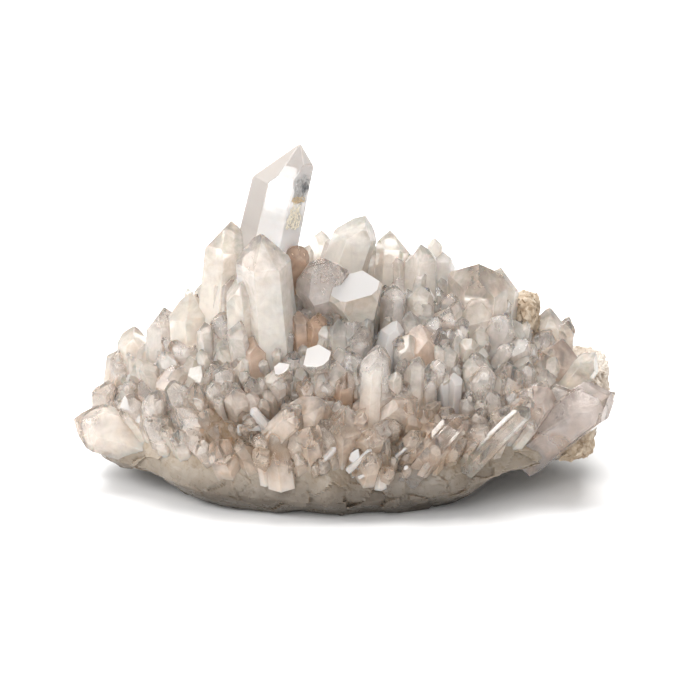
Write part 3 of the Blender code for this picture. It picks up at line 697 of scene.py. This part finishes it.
class Graph:
    # The node tree of a material, with one method that adds any node
    def __init__(self, name):
        self.material = bpy.data.materials.new(name)
        self.material.use_nodes = True
        self.tree = self.material.node_tree
        self.tree.nodes.clear()
        self.output = self.tree.nodes.new("ShaderNodeOutputMaterial")

    def add(self, kind, settings, sockets, output=0):
        # Settings are set first, then each socket gets its value or its link
        node = self.tree.nodes.new(kind)
        for name, value in settings.items():
            if name == "stops":
                self.setStops(node.color_ramp, value)
            else:
                setattr(node, name, value)
        for name, value in sockets.items():
            if isinstance(value, Signal):
                self.tree.links.new(value.socket, node.inputs[name])
            else:
                node.inputs[name].default_value = value
        return Signal(self, node.outputs[output])

    def math(self, operation, *values):
        return self.add("ShaderNodeMath", {"operation": operation}, dict(enumerate(values)))

    def setStops(self, ramp, stops):
        # A new ramp has two stops already
        for place, tone in stops[2:]:
            ramp.elements.new(place)
        for element, (place, tone) in zip(ramp.elements, stops):
            element.position = place
            element.color = (*tone, 1)

    def mix(self, factor, first, second, blend="MIX"):
        # Sockets 6 and 7 are the Mix node's colours, and output 2 its colour result
        return self.add("ShaderNodeMix", {"data_type": "RGBA", "blend_type": blend},
                        {0: factor, 6: colour(first), 7: colour(second)}, 2)

    def noise(self, place, scale, detail=4.0, roughness=0.55, distortion=0.0):
        return self.add("ShaderNodeTexNoise", {}, {"Vector": place, "Scale": scale, "Detail": detail,
                                                   "Roughness": roughness, "Distortion": distortion})

    def attribute(self, name):
        return self.add("ShaderNodeAttribute", {"attribute_name": name}, {}, "Fac")

    def place(self):
        return self.add("ShaderNodeTexCoord", {}, {}, "Object")

    def axes(self, vector):
        # The first output, X, whose node also gives Y and Z
        return self.add("ShaderNodeSeparateXYZ", {}, {0: vector})

    def height(self, place):
        # In mm above the foot
        return self.axes(place).part("Z") * 1000

    def growth(self):
        # The share of the crystal's length, whose node's Y is the height from the root in cm
        return self.axes(self.add("ShaderNodeUVMap", {"uv_map": "growth"}, {}))

    def bump(self, height, strength, distance):
        # The distance is in mm
        return self.add("ShaderNodeBump", {}, {"Strength": strength, "Distance": distance * mm,
                                               "Height": height})

    def finish(self, surface, volume=None):
        # The output's links, which close the material
        self.tree.links.new(surface.socket, self.output.inputs["Surface"])
        if volume:
            self.tree.links.new(volume.socket, self.output.inputs["Volume"])
        return self.material


def colour(value):
    # A link, or three numbers as a solid colour
    return value if isinstance(value, Signal) else (*value, 1.0)


# What every quartz finish shares: heights and places in mm, colours multiplied in
lowStain = {
    "bottom": 18.0, "top": 42.0, "amount": 0.85, "colour": (0.67, 0.60, 0.51), "foot": (6.0, 16.0, 0.25, 1.0),
    "sideways": (25.0, 50.0, 1.0, 0.0), "clouds": (0.35, 0.62, 0.3, 0.8), "own": 0.7,
}
# The shade tint is lilac grey, partly the crystals' own tone and partly painted shade; iron is a tan stain
tints = {"shade": (0.66, 0.62, 0.62), "iron": (0.74, 0.55, 0.40)}
quartz = {"index": 1.544, "veilIndex": 1.1, "veilRoughness": 0.6}


def stainedLow(graph, place, clouds, base):
    # Iron stain that thickens downwards in clouds: multiplied in from the top height down, most in the
    # middle of the length, least at the foot, on clear crystals and by each crystal's own seed
    high = graph.height(place)
    sideways = graph.math("ABSOLUTE", graph.axes(place)) * 1000
    band = high.ramp(*lowStain["foot"]) * sideways.ramp(*lowStain["sideways"])
    amount = (1 - high.ramp(lowStain["bottom"], lowStain["top"])) * band
    amount = amount * (1 - graph.attribute("clear") * 2).most(0.0)
    own = graph.math("FRACT", graph.attribute("seed") * 7.13)
    amount = amount * (clouds.ramp(*lowStain["clouds"]) + own ** 1.5 * lowStain["own"]).least(1.0)
    return graph.mix(amount * lowStain["amount"], base, lowStain["colour"], "MULTIPLY")


def tinted(graph, base):
    # The colours of the crystals that stand out: iron is tan stain, and shade a lilac grey, partly their own
    # tone and partly painted shade
    for name, tint in tints.items():
        base = graph.mix(graph.attribute(name), base, tint, "MULTIPLY")
    return base


crystalLook = {
    "name": "crystalQuartz", "cloudScale": 120.0, "veilScale": 240.0, "streakScale": 900.0, "dentScale": 320.0,
    # frost is the share of milk in the skin: how it grows with clouds, veils, the root and the seed, and
    # what it loses on clear crystals and low down
    "leastFrost": 0.04, "mostFrost": 0.5, "clouds": 0.6, "veils": 0.5, "roots": 0.7, "seeds": 0.55,
    "clears": 0.9, "highFrost": 0.1, "high": (34.0, 58.0), "lowClear": 0.25, "low": (22.0, 40.0),
    "streakFrost": 0.12, "rootMilk": 0.0, "rootShare": (0.45, 0.78), "milkShare": 1.0,
    "bump": 0.3, "ridgeScale": 2.2, "ridges": 0.8, "dents": 0.15,
    "pale": (0.985, 0.935, 0.90), "warm": (0.975, 0.87, 0.785), "streakColour": (0.80, 0.68, 0.58),
    "streaks": 0.1, "rootColour": (0.95, 0.93, 0.92),
    # a cleaved end, painted milky white as a painted highlight, takes the first of these colours, then the next
    # as its milk passes 0.7 and 1; the last is painted shade, dimming the face that the top lamp lights most
    "milkColour": (0.84, 0.82, 0.81), "deepColour": (0.60, 0.58, 0.565), "topLitShadeColour": (0.36, 0.345, 0.335),
    "frostRoughness": 0.22, "cleavedRoughness": 0.7, "scatter": 1.0, "scatterRadius": (1.0, 0.85, 0.75),
    "roughness": 0.03, "depthColour": (0.97, 0.92, 0.87), "density": 105.0,
}
# The clear point: its deep colour is painted shade on its left front faces
tallLook = dict(
    crystalLook, name="clearQuartz", leastFrost=0.0, mostFrost=0.2, roughness=0.01, density=4.0, bump=0.1,
    rootMilk=0.85, highFrost=0.0, lowClear=0.0, milkShare=0.76, milkColour=(0.74, 0.69, 0.655),
    deepColour=(0.48, 0.435, 0.40),
)


def crystalMaterial(look):
    # The glassy skin of a crystal: clear quartz, frosted in patches by a milky coat
    graph = Graph(look["name"])
    place = graph.place()
    share = graph.growth()
    seed = graph.attribute("seed")
    clouds = graph.noise(place, look["cloudScale"], 5)
    veils = graph.noise(place, look["veilScale"], 3, 0.6, 1.5)
    frost = ((clouds - 0.5) * look["clouds"] + (veils - 0.5) * look["veils"]
             + (1 - share) * look["roots"] + (seed - 0.5) * look["seeds"])
    high = graph.height(place)
    frost = frost - graph.attribute("clear") * look["clears"] + high.ramp(*look["high"]) * look["highFrost"]
    frost = frost - (1 - high.ramp(*look["low"])) * look["lowClear"]
    # Streaks run up the height, which is squeezed
    stretched = graph.add("ShaderNodeMapping", {}, {"Vector": place, "Scale": (1.0, 1.0, 0.16)})
    streaks = graph.noise(stretched, look["streakScale"], 3, 0.6)
    frost = frost.ramp(-0.3, 0.9, look["leastFrost"], look["mostFrost"]) + (streaks - 0.5) * look["streakFrost"]
    cleaved = graph.attribute("milk") * look["milkShare"]
    rooted = (1 - share.ramp(*look["rootShare"])) * look["rootMilk"]
    frost = frost.most(cleaved).most(rooted).most(0.0).least(1.0)
    # Growth ridges lie across each crystal: noise along its own height
    steps = graph.add("ShaderNodeCombineXYZ", {}, {0: seed * 40, 1: 0.0, 2: share.part("Y") * 10})
    ridges = graph.noise(steps, look["ridgeScale"], 3, 0.7)
    dents = graph.noise(place, look["dentScale"], 3, 0.6)
    bump = graph.bump(ridges * look["ridges"] + dents * look["dents"], look["bump"], 0.2)
    base = graph.mix(seed, look["pale"], look["warm"])
    base = tinted(graph, stainedLow(graph, place, clouds, base))
    base = graph.mix(streaks.ramp(0.5, 0.75) * look["streaks"], base, look["streakColour"])
    # Milky faces: on cleaved ends and glint faces the milk is a painted highlight, white where a reflection
    # would be
    base = graph.mix(cleaved.ramp(0.0, 0.3), base, look["milkColour"])
    base = graph.mix(rooted, base, look["rootColour"])
    base = graph.mix(cleaved.ramp(0.6, 0.7), base, look["deepColour"])
    # Painted shade: the most milky face, lit straight on by the top lamp, is dimmed to the last colour
    base = graph.mix(cleaved.ramp(0.9, 1.0), base, look["topLitShadeColour"])
    roughness = cleaved.ramp(0.6, 0.7, look["frostRoughness"], look["cleavedRoughness"])
    milky = graph.add("ShaderNodeBsdfPrincipled", {"subsurface_method": "RANDOM_WALK"}, {
        "Base Color": base, "Roughness": roughness, "IOR": quartz["index"], "Subsurface Weight": 1.0,
        "Subsurface Radius": look["scatterRadius"], "Subsurface Scale": look["scatter"] * mm, "Normal": bump})
    glass = graph.add("ShaderNodeBsdfPrincipled", {}, {
        "Base Color": (1.0, 1.0, 1.0, 1), "Roughness": look["roughness"], "IOR": quartz["index"],
        "Transmission Weight": 1.0, "Normal": bump})
    surface = graph.add("ShaderNodeMixShader", {}, {0: frost, 1: glass, 2: milky})
    volume = graph.add("ShaderNodeVolumeAbsorption", {}, {"Color": (*look["depthColour"], 1),
                                                          "Density": look["density"]})
    return graph.finish(surface, volume)


coreLook = {
    "name": "milkyHeart", "thinnest": 0.25, "cloudScale": 110.0, "fineScale": 420.0,
    "stain": 0.9, "stainLow": 0.05, "stainHigh": 0.7, "stainHeight": (30.0, 50.0, 1.0, 0.5),
    "pale": (0.99, 0.935, 0.89), "warm": (0.985, 0.86, 0.76), "vein": (1.0, 0.98, 0.96), "veins": 0.5,
    "stainColour": (0.66, 0.45, 0.27), "bump": 0.7, "clouds": 2.2, "flecks": 1.2, "roots": 1.1,
}


def coreMaterial(look):
    # Milky quartz under the skin: pale to warm by crystal, stained brown at the roots and along clouds, and
    # thicker by clouds, flecks and towards the root
    graph = Graph(look["name"])
    place = graph.place()
    share = graph.growth()
    seed = graph.attribute("seed")
    clouds = graph.noise(place, look["cloudScale"], 5)
    fine = graph.noise(place, look["fineScale"], 4, 0.65)
    high = graph.height(place)
    stain = (1 - share.ramp(look["stainLow"], look["stainHigh"])) * clouds.ramp(0.4, 0.62) * look["stain"]
    stain = stain * high.ramp(*look["stainHeight"])
    base = graph.mix(seed * 0.7 + clouds * 0.3, look["pale"], look["warm"])
    base = graph.mix(fine.ramp(0.5, 0.75) * look["veins"], base, look["vein"])
    base = graph.mix(stain, base, look["stainColour"])
    base = tinted(graph, stainedLow(graph, place, clouds, base))
    bump = graph.bump(clouds * 0.5 + fine * 0.5, look["bump"], 0.4)
    thick = (clouds - 0.5) * look["clouds"] + (fine - 0.5) * look["flecks"] + (1 - share) * look["roots"]
    surface = graph.add("ShaderNodeBsdfPrincipled", {}, {
        "Base Color": base, "Roughness": quartz["veilRoughness"], "IOR": quartz["veilIndex"], "Normal": bump,
        "Alpha": thick.ramp(-0.2, 0.9, look["thinnest"], 1.0)})
    return graph.finish(surface)


veilLook = {
    "name": "milkVeil", "wispScale": 90.0, "wisps": 0.6, "roots": 0.6, "low": 0.3, "high": 0.7,
    "least": 0.05, "most": 0.95, "pale": (0.85, 0.82, 0.79), "warm": (0.77, 0.70, 0.65),
}


def veilMaterial(look):
    # Thin milk in clear quartz: thick at the root, thinner upwards, in wisps
    graph = Graph(look["name"])
    share = graph.growth()
    wisps = graph.noise(graph.place(), look["wispScale"], 5, 0.6, 1.0)
    milk = (1 - share.ramp(look["low"], look["high"])) * look["roots"] + (wisps - 0.5) * look["wisps"]
    milk = (milk + graph.attribute("milk")).most(look["least"]).least(look["most"])
    base = graph.mix(wisps.ramp(0.4, 0.7), look["pale"], look["warm"])
    surface = graph.add("ShaderNodeBsdfPrincipled", {}, {
        "Base Color": base, "Roughness": quartz["veilRoughness"], "IOR": quartz["veilIndex"], "Alpha": milk})
    return graph.finish(surface)


massLook = {
    "name": "milkyQuartz", "cloudScale": 70.0, "fineScale": 340.0, "pale": (0.47, 0.40, 0.32),
    "warm": (0.37, 0.29, 0.21), "fleck": (0.60, 0.54, 0.46), "flecks": 0.3, "stain": 0.9,
    "stainColour": (0.36, 0.23, 0.12), "stainFrom": 12.0, "stainTo": 26.0,
    "upper": (0.97, 0.92, 0.87), "upperHeight": (26.0, 38.0),
    # painted shade: grey at the foot, in clouds, and again low down on the right, where the underside lies in
    # shadow
    "grey": (0.07, 0.055, 0.04), "greyBottom": 3.0, "greyTop": 18.0, "footShade": 0.95,
    "rightFrom": -35.0, "rightTo": 20.0, "rightHeight": (9.0, 24.0), "rightShade": 0.4,
    "bump": 0.6, "inside": 0.6, "scatter": 2.2, "scatterRadius": (1.0, 0.8, 0.65),
}


def massMaterial(look):
    # Milky quartz: cloudy cream, brown between the crystals, and painted shade in grey under the foot and low
    # on the right
    graph = Graph(look["name"])
    place = graph.place()
    high = graph.height(place)
    clouds = graph.noise(place, look["cloudScale"], 6, 0.6)
    fine = graph.noise(place, look["fineScale"], 5, 0.7)
    base = graph.mix(clouds.ramp(0.35, 0.65), look["pale"], look["warm"])
    base = graph.mix(fine.ramp(0.4, 0.7) * look["flecks"], base, look["fleck"])
    # Painted shade under the foot, where the underside lies in shadow
    foot = (1 - high.ramp(look["greyBottom"], look["greyTop"])) * look["footShade"]
    base = graph.mix(foot * clouds.ramp(0.2, 0.6, 0.7, 1.0), base, look["grey"])
    stain = high.ramp(look["stainFrom"], look["stainTo"]) * clouds.ramp(0.4, 0.6) * look["stain"]
    base = graph.mix(stain, base, look["stainColour"])
    base = graph.mix(high.ramp(*look["upperHeight"]), base, look["upper"])
    # Painted shade again, low down on the right
    rightward = (graph.axes(place) * 1000).ramp(look["rightFrom"], look["rightTo"])
    base = graph.mix(rightward * (1 - high.ramp(*look["rightHeight"])) * look["rightShade"], base, look["grey"])
    bump = graph.bump(clouds * 0.4 + fine * 0.6, look["bump"], 0.4)
    surface = graph.add("ShaderNodeBsdfPrincipled", {"subsurface_method": "RANDOM_WALK"}, {
        "Base Color": base, "Roughness": fine.ramp(0.3, 0.7, 0.2, 0.5), "IOR": quartz["index"],
        "Subsurface Weight": look["inside"], "Subsurface Radius": look["scatterRadius"],
        "Subsurface Scale": look["scatter"] * mm, "Normal": bump})
    return graph.finish(surface)


rockLook = {
    "name": "hostRock", "grainScale": 1100.0, "cloudScale": 90.0, "bump": 0.8,
    "stops": ((0.25, (0.20, 0.13, 0.07)), (0.45, (0.45, 0.35, 0.25)), (0.62, (0.60, 0.51, 0.40)),
              (0.8, (0.74, 0.68, 0.60))),
}
rimLook = dict(rockLook, stops=(
    (0.25, (0.36, 0.28, 0.20)), (0.45, (0.56, 0.48, 0.40)), (0.62, (0.70, 0.64, 0.57)),
    (0.8, (0.82, 0.79, 0.75))))


def rockMaterial(look):
    # Tan sandy rock: single grains of their own tone over clouds, from dark hollows to pale crests
    graph = Graph(look["name"])
    place = graph.place()
    grains = graph.add("ShaderNodeTexVoronoi", {}, {"Vector": place, "Scale": look["grainScale"],
                                                    "Randomness": 1.0}, "Color")
    clouds = graph.noise(place, look["cloudScale"], 5, 0.65)
    base = graph.add("ShaderNodeValToRGB", {"stops": look["stops"]}, {0: clouds * 0.7 + grains * 0.3})
    surface = graph.add("ShaderNodeBsdfPrincipled", {}, {
        "Base Color": base, "Roughness": clouds.ramp(0.3, 0.7, 0.75, 0.95),
        "Normal": graph.bump(grains * 0.5 + clouds, look["bump"], 0.5)})
    return graph.finish(surface)


def dress(piece, material, node):
    # One material, and the frame's body, slot and the solid that the piece stands for
    piece.data.materials.clear()
    piece.data.materials.append(material)
    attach(piece, "root")
    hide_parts(node)
    return piece


def relief(points, kinds, seed):
    # The sum of several kinds of relief, each worked out at its own size and seed, times its height
    return sum(kind(points, size, seed + own) * high for kind, size, own, high in kinds)


massSkin = {
    # kind of relief, size of its features in mm, seed and height in mm
    "relief": ((cloud, 17, 1, 1.4), (cloud, 6, 7, 1.0), (shards, 8, 2, 1.4), (shards, 3.6, 5, 0.28),
               (shards, 1.8, 6, 0.12), (cloud, 0.9, 4, 0.06)),
    # the swelling round the foot of a lying crystal: height, spread and depth of its middle in mm
    "swell": 2.6, "spread": 4.0, "under": 5.5,
}


def makeMass(lying):
    # Half-ovals carried along x as in the solid, with clouds and broken facets for its skin, swollen round
    # the feet of the lying crystals by a bell curve of the distance
    turn = np.linspace(0, 2 * math.pi, massShape["around"], endpoint=False)[None, :]
    x = -massShape["halfLength"] * np.cos(np.linspace(0, math.pi, massShape["along"]))[:, None]
    across, height = np.cos(turn), np.sin(turn)
    widest = tableAt(massShape["widest"], x)
    crest = tableAt(massShape["crest"], x)
    under = tableAt(massShape["underside"], x)
    y = halfDepthAt(x) * across
    upper = widest + (crest - widest) * np.abs(height) ** massShape["domePower"]
    lower = widest - under * np.abs(height) ** massShape["undersidePower"]
    z = np.where(height >= 0, upper, lower)
    points = np.stack([x + 0 * y, y, z], -1)
    outward = unit(points - np.stack([0.9 * x + 0 * y, 0 * y, widest + 0 * y], -1) + 1e-9)
    skin = relief(points, massSkin["relief"], 0)
    for crystal in lying:
        apart = points - (crystal["root"] - crystal["axis"] * massSkin["under"])
        skin = skin + massSkin["swell"] * np.exp(-np.sum(apart ** 2, -1) / (2 * massSkin["spread"] ** 2))
    points = points + outward * skin[..., None]
    points[..., 2] = np.maximum(points[..., 2], 0)
    return gridPiece("quartz_mass", toMetres(points))


# The same four, with the height as a share of the half sizes and the rock's own seed added
rockSkin = ((cloud, 7, 0, 0.2), (shards, 5, 0, 0.15), (shards, 2.2, 1, 0.1), (cloud, 0.9, 0, 0.07))


def makeRock(name, middle, half, seed):
    # A squarish ball stretched to its half sizes, its skin broken by shards and grains
    ball = ballGrid(rockShape["around"], rockShape["along"])
    power = rockShape["squareness"]
    ball = ball / np.sum(np.abs(ball) ** power, axis=-1, keepdims=True) ** (1 / power)
    points = ball * np.array(half) + np.array(middle)
    skin = relief(points, rockSkin, seed)
    points = np.array(middle) + ball * np.array(half) * (rockShape["shrink"] + skin[..., None])
    return gridPiece(name + "_grains", toMetres(points))


# What is sealed in the tall point: flat ragged balls, with the size and amount of the raggedness
inclusions = {
    "around": 72, "along": 48, "ragged": ((2.2, 0.35), (0.9, 0.25)), "holeScale": 900.0, "toneScale": 1500.0,
    "sealed": (
        # name, side face, u, v, half width, half height and half thickness in mm, colour, roughness, seed
        ("dark_inclusion", 1, -11.9, 88.8, 2.4, 2.1, 0.10, (0.03, 0.03, 0.035), 0.5, 3),
        ("grey_inclusion", 1, -12.6, 88.4, 3.4, 3.6, 0.07, (0.36, 0.34, 0.32), 0.6, 5),
        ("golden_inclusion", 1, -13.2, 85.6, 3.2, 1.3, 0.09, (0.55, 0.38, 0.18), 0.6, 8),
        ("cream_inclusion", 1, -14.6, 80.6, 3.2, 3.8, 0.07, (0.85, 0.76, 0.58), 0.6, 11),
    ),
}


def makeInclusion(crystal, name, side, u, v, wide, high, thick, tone, roughness, seed):
    # A ragged flat ball on one side face of the crystal, where the sight line through u, v meets it
    normals, offsets = crystalPlanes(crystal)
    normal, offset = normals[side], offsets[side]
    onSheet = sheetSides[0] * u + sheetSides[1] * (v - layout["footFront"] * leanSin)
    middle = onSheet + sheetSides[2] * (offset - normal @ onSheet) / (normal @ sheetSides[2])
    along = unit(crystal["axis"] - normal * (crystal["axis"] @ normal))
    ball = ballGrid(inclusions["around"], inclusions["along"])
    ragged = 1
    for size, amount in inclusions["ragged"]:
        ragged = ragged + amount * cloud(ball * 4, size, seed)[..., None]
    ball = ball * ragged * np.array([wide, high, thick])
    piece = gridPiece(name, toMetres(middle + ball @ np.array([np.cross(along, normal), along, normal])))
    dress(piece, inclusionMaterial(name, tone, roughness), "quartz_cluster")


def inclusionMaterial(name, tone, roughness):
    # Speckled from its own tone to a paler one, and holed by noise in its alpha
    graph = Graph(name + "Matter")
    place = graph.place()
    holes = graph.noise(place, inclusions["holeScale"], 4, 0.7)
    tones = graph.noise(place, inclusions["toneScale"], 3, 0.7)
    base = graph.mix(tones.ramp(0.35, 0.7), tone, tuple(0.6 * c + 0.3 for c in tone))
    surface = graph.add("ShaderNodeBsdfPrincipled", {}, {"Base Color": base, "Roughness": roughness,
                                                         "Alpha": holes.ramp(0.36, 0.56, 0.1, 0.95)})
    return graph.finish(surface)


def layOut():
    # Each size fills the places that the ones before it left; only large plain crystals have smaller ones
    # beside them
    named = [sheetCrystal(i, row) for i, row in enumerate(crystalRows)]
    tall = tallCrystal()
    taken = [c["root"] for c in named + [tall]]
    sizes = []
    for rule in (cover, blocks, filler, fine):
        made, taken = coverCrystals(taken, rule)
        sizes.append(made)
    first, more = beside["number"]
    paired = []
    for c in named + sizes[0]:
        if c["sides"].mean() > beside["largeFrom"] and not np.any(c.get("milk", 0)) and not c.get("alone"):
            paired += companions(c, first + int(more * chance(c["index"], 30)))
    across = [barCrystal(bars["first"] + i, row) for i, row in enumerate(bars["rows"])]
    groups = [named, *sizes, paired, across]
    print("crystals laid out", [len(group) for group in groups])
    return tall, named, sum(groups, [])


tall, named, every = layOut()
crystals = joined("quartz_crystals", [crystalMesh(c) for c in every], crystalShape["bevel"])
dress(crystals, crystalMaterial(crystalLook), "quartz_cluster")
print("crystals joined", len(crystals.data.polygons))
milky = [c for c in every if c.get("clear", 0) < heart["noneFrom"]]
hearts = joined("milky_hearts", [crystalMesh(core(c)) for c in milky], 0)
dress(hearts, coreMaterial(coreLook), "quartz_cluster")
print("milky hearts joined", len(hearts.data.polygons))
tallPiece = joined("tall_point", [crystalMesh(tall)], tallPoint["bevel"])
dress(tallPiece, crystalMaterial(tallLook), "quartz_cluster")
tallHeart = dict(core(tall), sides=tall["sides"] - tallPoint["veilInset"],
                 tip=tall["tip"] - tall["axis"] * tallPoint["veilDrop"])
dress(joined("tall_veils", [crystalMesh(tallHeart)], 0), veilMaterial(veilLook), "quartz_cluster")
dress(makeMass([c for c in named if c.get("depth")]), massMaterial(massLook), "quartz_cluster")
for name, (middle, half, seed) in rocks.items():
    look = rimLook if name == "host_rock_rim" else rockLook
    dress(makeRock(name, middle, half, seed), rockMaterial(look), name)
for entry in inclusions["sealed"]:
    makeInclusion(tall, *entry)
print("tall point, quartz mass, host rock and inclusions made")

camera = {
    "distance": 2.0, "sensor": 36, "farthest": 20, "pixel": 0.28e-3, "side": 700, "middle": (350, 350),
    "zero": (347, 508),
}


def makeCamera():
    # Square to the sheet: the layout's u = 0, v = 0 falls on pixel zero, and a pixel is 0.28 mm on the sheet
    eye = bpy.data.cameras.new("camera")
    eye.sensor_width = camera["sensor"]
    eye.lens = camera["sensor"] * camera["distance"] / (camera["side"] * camera["pixel"])
    eye.clip_end = camera["farthest"]
    right, up, back = [Vector(side) for side in sheetSides]
    u = (camera["middle"][0] - camera["zero"][0]) * camera["pixel"]
    v = (camera["zero"][1] - camera["middle"][1]) * camera["pixel"]
    foot = Vector((-layout["middle"][0], -layout["footFront"] - layout["middle"][1], 0)) * mm
    aim = foot + right * u + up * v
    aim -= back * aim.dot(back)
    obj = bpy.data.objects.new("camera", eye)
    bpy.context.scene.collection.objects.link(obj)
    obj.location = aim + back * camera["distance"]
    obj.rotation_euler = (-back).to_track_quat("-Z", "Y").to_euler()
    bpy.context.scene.camera = obj


# The strength of the sky, and soft panels with sizes in metres
lights = {
    "sky": 0.49,
    "panels": (
        # name, place, aim, width, height and watts
        ("back", (-0.1, 0.78, 0.68), (0, 0, 0.04), 0.9, 0.4, 8.0),
        ("top", (0.0, 0.08, 1.0), (0, 0, 0.04), 0.8, 0.6, 8.4),
        ("key", (-0.8, -0.25, 0.55), (0, 0, 0.04), 0.35, 0.35, 3.2),
        ("front", (-0.15, -0.85, 0.55), (0, 0, 0.04), 0.8, 0.5, 4.5),
    ),
}


def makeLights():
    # A plain white sky and four soft panels, each turned to its aim
    world = bpy.data.worlds.new("studio")
    bpy.context.scene.world = world
    world.use_nodes = True
    world.node_tree.nodes["Background"].inputs[0].default_value = (1, 1, 1, 1)
    world.node_tree.nodes["Background"].inputs[1].default_value = lights["sky"]
    for name, place, aim, width, height, watts in lights["panels"]:
        lamp = bpy.data.lights.new(name, "AREA")
        lamp.shape = "RECTANGLE"
        lamp.size, lamp.size_y, lamp.energy = width, height, watts
        obj = bpy.data.objects.new(name, lamp)
        bpy.context.scene.collection.objects.link(obj)
        obj.location = place
        obj.rotation_euler = (Vector(aim) - Vector(place)).to_track_quat("-Z", "Y").to_euler()


paper = {"half": 3.0, "colour": (0.95, 0.95, 0.95, 1), "roughness": 0.9}


def makeFloor():
    # One pale square of paper under everything
    half = paper["half"]
    floor = bpy.data.meshes.new("floor")
    floor.from_pydata([(-half, -half, 0), (half, -half, 0), (half, half, 0), (-half, half, 0)], [],
                      [(0, 1, 2, 3)])
    obj = bpy.data.objects.new("floor", floor)
    bpy.context.scene.collection.objects.link(obj)
    graph = Graph("floorPaper")
    surface = graph.add("ShaderNodeBsdfPrincipled", {}, {
        "Base Color": paper["colour"], "Roughness": paper["roughness"], "Specular IOR Level": 0.0})
    obj.data.materials.append(graph.finish(surface))


makeCamera()
makeLights()
makeFloor()
bpy.context.scene.view_settings.view_transform = "Standard"
print("camera, lights and floor set")
